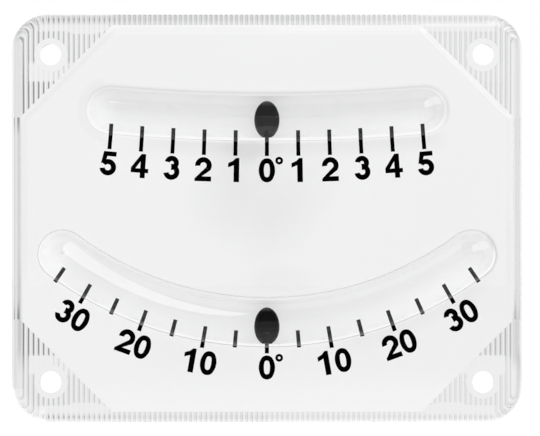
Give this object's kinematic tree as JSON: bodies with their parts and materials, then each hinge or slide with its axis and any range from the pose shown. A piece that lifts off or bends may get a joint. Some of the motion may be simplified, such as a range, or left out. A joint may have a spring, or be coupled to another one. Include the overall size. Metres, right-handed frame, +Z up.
{
  "type": "inclinometer",
  "caption": "Bulkhead inclinometer: clear plate over a white panel, with two arc-shaped liquid-filled ball tubes for fine and coarse angles, printed scales and corner screw holes",
  "frame": {"origin": "centre of the back face, in the plane of the wall that it is screwed to", "axes": "+Z up along the short side, +X to the reader's right along the long side, +Y into the wall"},
  "size_m": [0.105, 0.0092, 0.0838],
  "materials": {
    "clear_acrylic": "polished clear moulding",
    "white_plastic": "satin white moulding",
    "black_ball": "polished black",
    "damping_fluid": "clear liquid",
    "clear_cement": "cured clear cement",
    "black_ink": "printed ink"
  },
  "bodies": {
    "housing": {"front_window": "clear_acrylic", "backing_plate": "white_plastic", "upper_fluid": "damping_fluid", "lower_fluid": "damping_fluid", "upper_seal": "clear_cement", "lower_seal": "clear_cement", "upper_filler_plug": "white_plastic", "lower_filler_plug": "white_plastic", "upper_scale_marks": "black_ink", "upper_scale_numbers": "black_ink", "lower_scale_long_marks": "black_ink", "lower_scale_short_marks": "black_ink", "lower_scale_numbers": "black_ink"},
    "fine_ball": {"upper_ball": "black_ball"},
    "coarse_ball": {"lower_ball": "black_ball"}
  },
  "joints": [
    {"name": "upper_ball_roll", "type": "hinge", "parent": "housing", "child": "fine_ball", "pos_m": [0, -0.00395, 0.3844], "axis": [0, -1, 0], "range_deg": [-5.09, 5.09], "deforming": ["upper_fluid"]},
    {"name": "lower_ball_roll", "type": "hinge", "parent": "housing", "child": "coarse_ball", "pos_m": [0, -0.00395, 0.0492], "axis": [0, -1, 0], "range_deg": [-36.6, 36.6], "deforming": ["lower_fluid"]}
  ]
}
